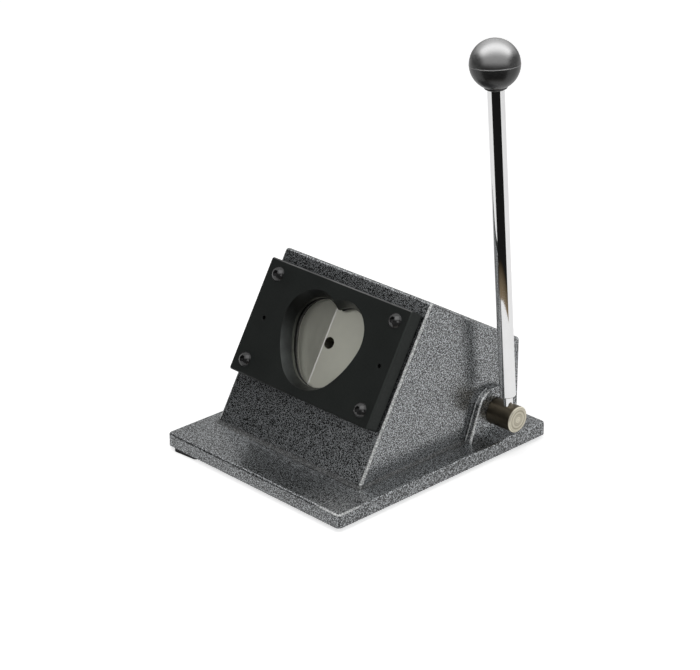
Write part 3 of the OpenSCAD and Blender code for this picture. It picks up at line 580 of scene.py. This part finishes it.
def black_finish(name, dark, pale, roughness, metallic=0.0, scale=700.0, strength=0.06, ior=1.5,
                 edge_highlight=None, sheen=WHITE):
    """Dark finish with a fine grain in its shine, and a lighter colour as painted highlight on the
    edges that the edge mask picks out.
    """
    mat, tree, shader = material(name, Metallic=metallic, IOR=ior, Specular_Tint=sheen)
    fine = noise(tree, {"Vector": place(tree), "Scale": scale, "Detail": 3.0})
    broad = noise(tree, {"Vector": place(tree), "Scale": BLACK_PATCHES, "Detail": 2.0})
    color = mix_colors(tree, span(tree, broad, 0, 1), dark, pale)
    if edge_highlight:
        color = mix_colors(tree, edge_light_and_shade(tree)["Painted highlight"], color, edge_highlight)
    feed(tree, shader, Base_Color=color, Roughness=span(tree, fine, *roughness),
         Normal=bump(tree, fine, strength, FINE_DEPTH))
    return mat


BLACK_FINISHES = {
    # Black steel is lighter on its edges: a painted highlight
    "black_steel": dict(dark=gray(0.007, STEEL_TINT), pale=gray(0.011, STEEL_TINT),
                        roughness=(0.48, 0.60), ior=1.38, edge_highlight=gray(0.03, STEEL_TINT),
                        sheen=gray(1, STEEL_TINT)),
    # Painted highlight: a lighter finish for the die plate's upper bevel
    "bevel_highlight": dict(dark=gray(0.06), pale=gray(0.16), roughness=(0.35, 0.50), metallic=0.3),
    "black_screw": dict(dark=gray(0.05), pale=gray(0.08), roughness=(0.18, 0.26), metallic=0.7),
    "rubber": dict(dark=gray(0.012), pale=gray(0.020), roughness=(0.70, 0.85)),
    "black_plastic": dict(dark=gray(0.010), pale=gray(0.013), roughness=(0.27, 0.34),
                          scale=900.0, strength=0.03, ior=1.55),
    # Painted highlight: a paler finish along the ball's parting line
    "seam_highlight": dict(dark=gray(0.12), pale=gray(0.18), roughness=(0.35, 0.45)),
}
GROUND_METALS = {
    "window_steel": dict(dark=gray(0.036, WINDOW_TINT), pale=gray(0.064, WINDOW_TINT),
                         roughness=(0.38, 0.50)),
    "ground_steel": dict(dark=gray(0.07), pale=gray(0.11), roughness=(0.55, 0.65)),
    "punch_steel": dict(dark=gray(0.68, PUNCH_TINT), pale=gray(0.77, PUNCH_TINT),
                        roughness=(0.28, 0.32), lines=160.0, metallic=0.8, strength=0.005),
    # Painted highlight: the ridge between the punch's faces is paler and not metallic
    "ridge_highlight": dict(dark=gray(0.76, RIDGE_TINT), pale=gray(0.84, RIDGE_TINT),
                        roughness=(0.40, 0.50), metallic=0.0),
    # Painted shade: the punch's screw hole is darker than its face
    "hole_shade": dict(dark=gray(0.28, HOLE_TINT), pale=gray(0.40, HOLE_TINT),
                       roughness=(0.40, 0.55)),
    "ram_steel": dict(dark=gray(0.34), pale=gray(0.42), roughness=(0.35, 0.50), lines=400.0),
    "zinc_steel": dict(dark=gray(0.50), pale=gray(0.60), roughness=(0.25, 0.38)),
    "spring_steel": dict(dark=gray(0.30), pale=gray(0.40), roughness=(0.30, 0.42)),
    "bronze": dict(dark=(0.42, 0.27, 0.11, 1), pale=(0.55, 0.37, 0.16, 1),
                   roughness=(0.28, 0.40)),
    "bare_steel": dict(dark=(0.10, 0.085, 0.060, 1), pale=(0.18, 0.152, 0.108, 1),
                       roughness=(0.30, 0.46)),
    "chrome": dict(dark=gray(0.80), pale=gray(0.86), roughness=(0.04, 0.07), lines=300.0,
                   strength=0.01),
}
FINISHES = {"hammer_paint": hammer_paint(), "turned_face": turned_face()}
FINISHES.update({name: black_finish(name, **look) for name, look in BLACK_FINISHES.items()})
FINISHES.update({name: ground_metal(name, **look) for name, look in GROUND_METALS.items()})


# Pieces. Material indices count the finishes that stand_in is given for the piece


def stand_in(piece, body, node_name, *slots):
    """A finer piece stands for a CAD node, with its finishes, and moves with its body."""
    for name in slots:
        piece.data.materials.append(FINISHES[name])
    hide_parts(node_name)
    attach(piece, body)


def die_plate():
    """Die plate with bevelled edges, a painted highlight on the upper one, and bare steel round the
    window.
    """
    bm = bmesh.new()
    back, front = SLOT_T, SLOT_T + DIE_T
    bevel_from = front - DIE_BEVEL
    full = round_rect(PLATE_W, PLATE_H, PLATE_CORNER)
    small = round_rect(PLATE_W - 2 * DIE_BEVEL, PLATE_H - 2 * DIE_BEVEL, PLATE_CORNER - DIE_BEVEL)
    outline = [(full, back), (full, bevel_from), (small, front)]
    cutting = heart(-RELIEF)
    window = [(cutting, back), (cutting, back + LAND), (heart(LIP_BELOW), front - LIP_DEPTH),
              (heart(LIP_FACE), front)]
    holes = []
    for x in (-SCREW_X, SCREW_X):
        for v in (-SCREW_V, SCREW_V):
            bore = circle(x, v, SCREW_D / 2, HOLE_STEPS)
            holes.append([(bore, back), (bore, front)])
    for x in (PIN_LEFT, PIN_RIGHT):
        bore = circle(x, 0, PIN_D / 2, HOLE_STEPS)
        mouth = circle(x, 0, PIN_D / 2 + PIN_CHAMFER, HOLE_STEPS)
        holes.append([(bore, back), (bore, front - PIN_CHAMFER), (mouth, front)])
    walls = plate(bm, outline, [window] + holes)
    # The upper bevel takes the painted highlight
    for face in walls[0]:
        middle = face.calc_center_median()
        if middle.z > bevel_from and middle.y > PLATE_H / 2 - DIE_BEVEL:
            face.material_index = 2
    for face in walls[1]:
        face.material_index = 1
    return finish_mesh("die_plate_body", bm, wall_matrix(), DIE_SMOOTH)


def heart_punch():
    """Punch with two gently sloped faces, a narrow ridge between them and a sunk screw hole."""
    bm = bmesh.new()
    near, far = RIDGE_X - RIDGE_W / 2, RIDGE_X + RIDGE_W / 2

    def height(x):
        return RIDGE_N - SHEAR * max(near - x, x - far, 0)

    def clip(points, x, keep_left):
        """Part of an outline on one side of an upright line."""
        out = []
        for (x0, y0), (x1, y1) in zip(points, points[1:] + points[:1]):
            if (x0 <= x) == keep_left:
                out.append((x0, y0))
            if (x0 - x) * (x1 - x) < 0:
                out.append((x, y0 + (y1 - y0) * (x - x0) / (x1 - x0)))
        return out

    def front(index, *outlines):
        """Front face within an outline and round a hole; gives its rings."""
        rings = [[bm.verts.new((x, y, height(x))) for x, y in points] for points in outlines]
        for face in cap(bm, rings):
            face.material_index = index
        return rings

    outline = heart(-RELIEF - PUNCH_GAP)
    beyond = clip(outline, near, False)
    left = clip(outline, near, True)
    ridge, right = clip(beyond, far, True), clip(beyond, far, False)
    hole = circle(*PUNCH_HOLE, PUNCH_HOLE_R, PUNCH_HOLE_STEPS)
    rim = front(0, right, hole)[1]
    front(0, left)
    # The ridge takes a painted highlight
    front(1, ridge)
    # The screw hole's wall and floor take painted shade
    hole_floor = add_ring(bm, hole, PUNCH_HOLE_FLOOR)
    for face in skin(bm, rim, hole_floor) + [bm.faces.new(hole_floor)]:
        face.material_index = 2
    for part in (left, ridge, right):
        for (x0, y0), (x1, y1) in zip(part, part[1:] + part[:1]):
            if abs(x0 - x1) < SAME and min(abs(x0 - near), abs(x0 - far)) < SAME:
                continue
            add_face(bm, ((x0, y0, height(x0)), (x1, y1, height(x1)),
                          (x1, y1, PUNCH_BACK), (x0, y0, PUNCH_BACK)))
    cap(bm, [add_ring(bm, outline, PUNCH_BACK)])
    bmesh.ops.remove_doubles(bm, verts=bm.verts, dist=MERGE)
    return finish_mesh("heart_punch_body", bm, wall_matrix(), PUNCH_SMOOTH)


def ball_knob():
    """Moulded ball with a fine parting line, and a thin collar below it."""
    bm = bmesh.new()
    seam = math.degrees(math.asin(-SEAM_DROP / BALL_R))
    profile = [(0, -BALL_R)]
    profile += arc(0, 0, BALL_R, -BALL_POLE, seam - SEAM_FOOT, BALL_STEPS_LOW)
    profile += arc(0, 0, BALL_R + SEAM_OUT, seam - SEAM_CREST, seam + SEAM_CREST, 1)
    profile += arc(0, 0, BALL_R, seam + SEAM_FOOT, BALL_POLE, BALL_STEPS_HIGH)
    profile.append((0, BALL_R))
    lathe(bm, profile)
    # The faces along the parting line take the painted highlight
    for face in bm.faces:
        face.material_index = int(abs(face.calc_center_median().z + SEAM_DROP) < SEAM_BAND)
    bm.transform(Vector((0, 0, 1)).rotation_difference(SEAM_NORMAL).to_matrix().to_4x4())
    bmesh.ops.translate(bm, vec=(0, 0, BALL_MIDDLE), verts=bm.verts)
    collar = [(COLLAR_R + change, KNOB_FOOT + rise) for change, rise in COLLAR_OUTLINE]
    lathe(bm, [(0, KNOB_FOOT)] + collar + [(0, KNOB_FOOT + COLLAR_H)], COLLAR_STEPS)
    return finish_mesh("ball_knob_body", bm, lever_matrix())


def lever_rod():
    """Chromed rod with a rounded shoulder above its neck."""
    bm = bmesh.new()
    r, spigot_top = SHOULDER_R, KNOB_FOOT + SPIGOT_LEN
    profile = [(0, NECK_FOOT), (NECK_R, NECK_FOOT), (NECK_R, NECK_TOP)]
    profile += arc(ROD_R - r, NECK_TOP + r, r, -90, 0, SHOULDER_STEPS)
    profile += [(ROD_R, KNOB_FOOT), (SPIGOT_R, KNOB_FOOT), (SPIGOT_R, spigot_top), (0, spigot_top)]
    lathe(bm, profile)
    return finish_mesh("lever_rod_body", bm, lever_matrix())


def pivot_shaft():
    """Turned shaft with broken edges and two ring grooves; its ends show the turning marks."""
    bm = bmesh.new()
    c, groove = SHAFT_CHAMFER, SHAFT_R - GROOVE_DEPTH
    profile = [(0, SHAFT_LEFT), (SHAFT_R - c, SHAFT_LEFT), (SHAFT_R, SHAFT_LEFT + c)]
    for x0, x1 in RING_GROOVES:
        profile += [(SHAFT_R, x0), (groove, x0), (groove, x1), (SHAFT_R, x1)]
    profile += [(SHAFT_R, SHAFT_RIGHT - c), (SHAFT_R - c, SHAFT_RIGHT), (0, SHAFT_RIGHT)]
    lathe(bm, profile)
    for face in bm.faces:
        middle = face.calc_center_median().z
        if middle > SHAFT_RIGHT - c or middle < SHAFT_LEFT + c:
            face.material_index = 1
    at = Matrix.Translation(Vector((0, SHAFT_AXIS.y, SHAFT_AXIS.z)) * MM)
    along = at @ Matrix.Rotation(math.pi / 2, 4, "Y") @ Matrix.Scale(MM, 4)
    return finish_mesh("pivot_shaft_body", bm, along)


def return_spring(side):
    """Coiled wire round a pillar, built at its length at rest and fixed to the frame; the spring
    itself shortens as the ram comes forward.
    """
    bm = bmesh.new()
    steps = TURN_STEPS * SPRING_TURNS
    z0, z1 = SPRING_FRONT - WIRE_R, SPRING_REAR + WIRE_R
    rings = []
    for i in range(steps + 1):
        a = 2 * math.pi * SPRING_TURNS * i / steps
        z = z0 + (z1 - z0) * i / steps
        ring = []
        for k in range(WIRE_STEPS):
            b = 2 * math.pi * k / WIRE_STEPS
            r = SPRING_R + WIRE_R * math.cos(b)
            x, y = side * SPRING_X + r * math.cos(a), SPRING_V + r * math.sin(a)
            ring.append(bm.verts.new((x, y, z + WIRE_R * math.sin(b))))
        rings.append(ring)
    for a, b in zip(rings, rings[1:]):
        skin(bm, a, b)
    bm.faces.new(rings[0])
    bm.faces.new(rings[-1])
    name = "return_spring_" + ("left" if side < 0 else "right")
    piece = finish_mesh(name + "_wire", bm, wall_matrix())
    stand_in(piece, "frame", name, "spring_steel")
    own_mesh(piece)


# CAD solids


def smooth_shading():
    """Geometry nodes that join split corners and shade gentle edges smooth."""
    tree = bpy.data.node_groups.new("Smooth shading", "GeometryNodeTree")
    for in_out in ("INPUT", "OUTPUT"):
        tree.interface.new_socket(name="Geometry", in_out=in_out, socket_type="NodeSocketGeometry")
    source, result = tree.nodes.new("NodeGroupInput"), tree.nodes.new("NodeGroupOutput")
    plain = node(tree, "GeometryNodeRemoveAttribute",
                 {"Geometry": source.outputs[0], "Name": "custom_normal"})
    joined = node(tree, "GeometryNodeMergeByDistance",
                  {"Geometry": plain.outputs[0], "Distance": CAD_MERGE})
    smooth = node(tree, "GeometryNodeSetShadeSmooth",
                  {"Geometry": joined.outputs[0], "Shade Smooth": True})
    angle = node(tree, "GeometryNodeInputMeshEdgeAngle")
    steep = node(tree, "FunctionNodeCompare", {0: angle.outputs[0], 1: math.radians(CAD_SMOOTH)},
                 operation="GREATER_THAN")
    sharp = node(tree, "GeometryNodeSetShadeSmooth",
                 {"Geometry": smooth.outputs[0], "Selection": steep.outputs[0],
                  "Shade Smooth": False}, domain="EDGE")
    tree.links.new(sharp.outputs[0], result.inputs[0])
    return tree


def dress_cad_nodes():
    """Gives each CAD solid the finish that the record names, and smooth shading."""
    slots = {s["node"]: s["material_slot"] for s in frame["record"]["subparts"]}
    shading = smooth_shading()
    for name, piece in nodes.items():
        piece.data.materials.clear()
        piece.data.materials.append(FINISHES[slots[name]])
        piece.modifiers.new("Smooth shading", "NODES").node_group = shading
        even = piece.modifiers.new("Even normals", "WEIGHTED_NORMAL")
        even.keep_sharp = True


# Studio


def camera():
    az, el = CAMERA_AZIMUTH, CAMERA_ELEVATION
    back = Vector((math.sin(az) * math.cos(el), -math.cos(az) * math.cos(el), math.sin(el)))
    right = Vector((math.cos(az), math.sin(az), 0))
    up = back.cross(right)
    data = bpy.data.cameras.new("camera")
    data.sensor_fit = "HORIZONTAL"
    data.sensor_width = CAMERA_SENSOR_MM
    data.lens = CAMERA_LENS_MM
    data.clip_end = CAMERA_CLIP_END
    made = bpy.data.objects.new("camera", data)
    bpy.context.scene.collection.objects.link(made)
    at = CAMERA_AIM + right * CAMERA_SIDE_STEP + up * CAMERA_RISE + back * CAMERA_DISTANCE
    turn = Matrix((right, up, back)).transposed().to_4x4()
    made.matrix_world = Matrix.Translation(at) @ turn
    bpy.context.scene.camera = made


def ray(tree, kind):
    return node(tree, "ShaderNodeLightPath").outputs[kind]


def seen_rays(tree):
    """1 for camera, glossy and transmission rays, 0 for the rays that light the object."""
    total = calc(tree, "ADD", ray(tree, "Is Camera Ray"), ray(tree, "Is Glossy Ray"))
    return calc(tree, "ADD", total, ray(tree, "Is Transmission Ray"), clamp=True)


def surround():
    """White surround, dimmer as light on the object than as what is seen."""
    world = bpy.data.worlds.new("surround")
    bpy.context.scene.world = world
    world.use_nodes = True
    tree = world.node_tree
    back = tree.nodes["Background"]
    strength = node(tree, "ShaderNodeMapRange", {"Value": seen_rays(tree), "To Min": SURROUND_LIGHT,
                                                 "To Max": SURROUND_SEEN})
    feed(tree, back, Strength=strength.outputs["Result"])
    back.inputs["Color"].default_value = WHITE


def white_floor():
    """White floor with a glow for what is seen, which is less in reflections."""
    bm = bmesh.new()
    bmesh.ops.create_grid(bm, x_segments=1, y_segments=1, size=FLOOR_HALF)
    floor = finish_mesh("floor", bm, Matrix.Identity(4))
    mat, tree, shader = material("floor_white", Base_Color=gray(FLOOR_GRAY), Roughness=FLOOR_ROUGH,
                                 Emission_Color=WHITE)
    shine = calc(tree, "MULTIPLY", ray(tree, "Is Glossy Ray"), FLOOR_SHINE)
    glow = calc(tree, "MULTIPLY_ADD", seen_rays(tree), FLOOR_GLOW, shine)
    feed(tree, shader, Emission_Strength=glow)
    floor.data.materials.append(mat)


def out_of_sight(piece):
    """Leaves a stage piece only in reflections."""
    piece.visible_camera = False
    piece.visible_diffuse = False
    piece.visible_transmission = False
    piece.visible_volume_scatter = False
    piece.visible_shadow = False


def glowing(name, color=WHITE, glow=0.0):
    """Material that glows evenly and reflects nothing."""
    return material(name, Base_Color=BLACK, Specular_IOR_Level=0.0, Emission_Color=color,
                    Emission_Strength=glow)


def clear_where(tree, shader, mask):
    """Makes a stage material clear to the rays that the mask picks out."""
    clear = node(tree, "ShaderNodeBsdfTransparent")
    shown = node(tree, "ShaderNodeMixShader",
                 {"Fac": mask, 1: shader.outputs[0], 2: clear.outputs[0]})
    tree.links.new(shown.outputs[0], tree.nodes["Material Output"].inputs["Surface"])


def brown_cloth(foot):
    """Floor that fades from brown to dark, and is clear to what lies close to it."""
    mat, tree, shader = glowing("brown_cloth", BROWN)
    apart = vector_calc(tree, "DISTANCE", place(tree), (foot.x, foot.y, 0))
    fading = node(tree, "ShaderNodeMapRange",
                  {"Value": apart, "From Min": ROOM_NEAR, "From Max": ROOM_BROWN,
                   "To Min": BROWN_GLOW, "To Max": DARK_GLOW})
    feed(tree, shader, Emission_Strength=fading.outputs["Result"])
    clear_where(tree, shader, calc(tree, "LESS_THAN", ray(tree, "Ray Length"), BROWN_BEYOND))
    return mat


def dark_room():
    """The dark half of the room on the camera's side, as polished surfaces see it."""
    bm = bmesh.new()
    facing = math.degrees(CAMERA_AZIMUTH) - 90
    foot = SHAFT_AXIS * MM

    def bow(cx, cy, r, limits):
        return arc(cx, cy, r, facing + limits[0], facing + limits[1], ROOM_STEPS)

    for slot, near, far in ((BROWN_SLOT, ROOM_NEAR, ROOM_BROWN), (DARK_SLOT, ROOM_BROWN, ROOM_FAR)):
        low, high = bow(foot.x, foot.y, near, ROOM_FLOOR), bow(foot.x, foot.y, far, ROOM_FLOOR)
        for i in range(ROOM_STEPS):
            corners = (low[i], low[i + 1], high[i + 1], high[i])
            add_face(bm, [(x, y, ROOM_LIFT) for x, y in corners]).material_index = slot
    for slot, limits, bottom, top, far in ((DARK_SLOT, ROOM_WALL, 0, ROOM_HEIGHT, ROOM_FAR),
                                           (CARD_SLOT, ROOM_BACK, 0, ROOM_HEIGHT, ROOM_FAR),
                                           (CARD_SLOT, CARD_SPAN, CARD_LOW, CARD_HIGH, CARD_FAR)):
        wall = bow(0, 0, far, limits)
        for (x0, y0), (x1, y1) in zip(wall, wall[1:]):
            corners = ((x0, y0, bottom), (x1, y1, bottom), (x1, y1, top), (x0, y0, top))
            add_face(bm, corners).material_index = slot
    room = finish_mesh("dark_room", bm, Matrix.Identity(4))
    room.data.materials.append(glowing("dark_cloth", glow=DARK_GLOW)[0])
    room.data.materials.append(glowing("gray_card", glow=CARD_GLOW)[0])
    room.data.materials.append(brown_cloth(foot))
    out_of_sight(room)


def canopy():
    """Soft bright canopy over the ball, which shows only in what the ball reflects."""
    bm = bmesh.new()
    dome = arc(0, 0, CANOPY_R, CANOPY_TOP, 0, CANOPY_RINGS)
    lathe(bm, [(0, CANOPY_R)] + dome, CANOPY_STEPS)
    ball = lever_matrix() @ Vector((0, 0, BALL_MIDDLE))
    piece = finish_mesh("canopy", bm, Matrix.Translation(ball))
    mat, tree, shader = glowing("canopy_cloth")
    front = Vector((math.sin(CAMERA_AZIMUTH), -math.cos(CAMERA_AZIMUTH), 0))
    apart = vector_calc(tree, "SUBTRACT", place(tree), tuple(ball))

    def along(*axis):
        return vector_calc(tree, "DOT_PRODUCT", apart, axis)

    def fade(value, limits, unit):
        return ramp(tree, value, limits[0] * unit, limits[1] * unit)

    def part(begin, end):
        """Part of the canopy between two angles, each of them a soft edge."""
        degree = math.radians(1)
        return calc(tree, "MULTIPLY", fade(turn, begin, degree), fade(turn, end, degree))

    turn = calc(tree, "ARCTAN2", along(0, 0, 1), along(*front))
    cloth = calc(tree, "MULTIPLY", part(CLOTH_FROM, CLOTH_TO), CANOPY_CLOTH)
    glow = calc(tree, "MULTIPLY_ADD", part(BOX_FROM, BOX_TO), CANOPY_BOX, cloth)
    sides = calc(tree, "ABSOLUTE", along(-front.y, front.x, 0))
    middle = fade(sides, CANOPY_SIDES, CANOPY_R)
    feed(tree, shader, Emission_Strength=calc(tree, "MULTIPLY_ADD", glow, middle, CANOPY_RIM))
    clear_where(tree, shader, calc(tree, "GREATER_THAN", ray(tree, "Ray Length"), CANOPY_REACH))
    piece.data.materials.append(mat)
    out_of_sight(piece)


def lamps():
    for name, at, size, power in LAMPS:
        data = bpy.data.lights.new(name, "AREA")
        data.size = size
        data.energy = power
        lamp = bpy.data.objects.new(name, data)
        lamp.location = at
        lamp.rotation_euler = (LAMP_AIM - Vector(at)).to_track_quat("-Z", "Y").to_euler()
        bpy.context.scene.collection.objects.link(lamp)


def studio():
    """White floor and surround, soft lamps, and what only shows in reflections."""
    bpy.context.scene.view_settings.view_transform = "Standard"
    surround()
    white_floor()
    dark_room()
    canopy()
    lamps()


camera()
dress_cad_nodes()
stand_in(die_plate(), "frame", "die_plate", "black_steel", "window_steel", "bevel_highlight")
stand_in(heart_punch(), "ram", "heart_punch", "punch_steel", "ridge_highlight", "hole_shade")
stand_in(ball_knob(), "lever", "ball_knob", "black_plastic", "seam_highlight")
stand_in(lever_rod(), "lever", "lever_rod", "chrome")
stand_in(pivot_shaft(), "lever", "pivot_shaft", "bare_steel", "turned_face")
return_spring(-1)
return_spring(1)
studio()
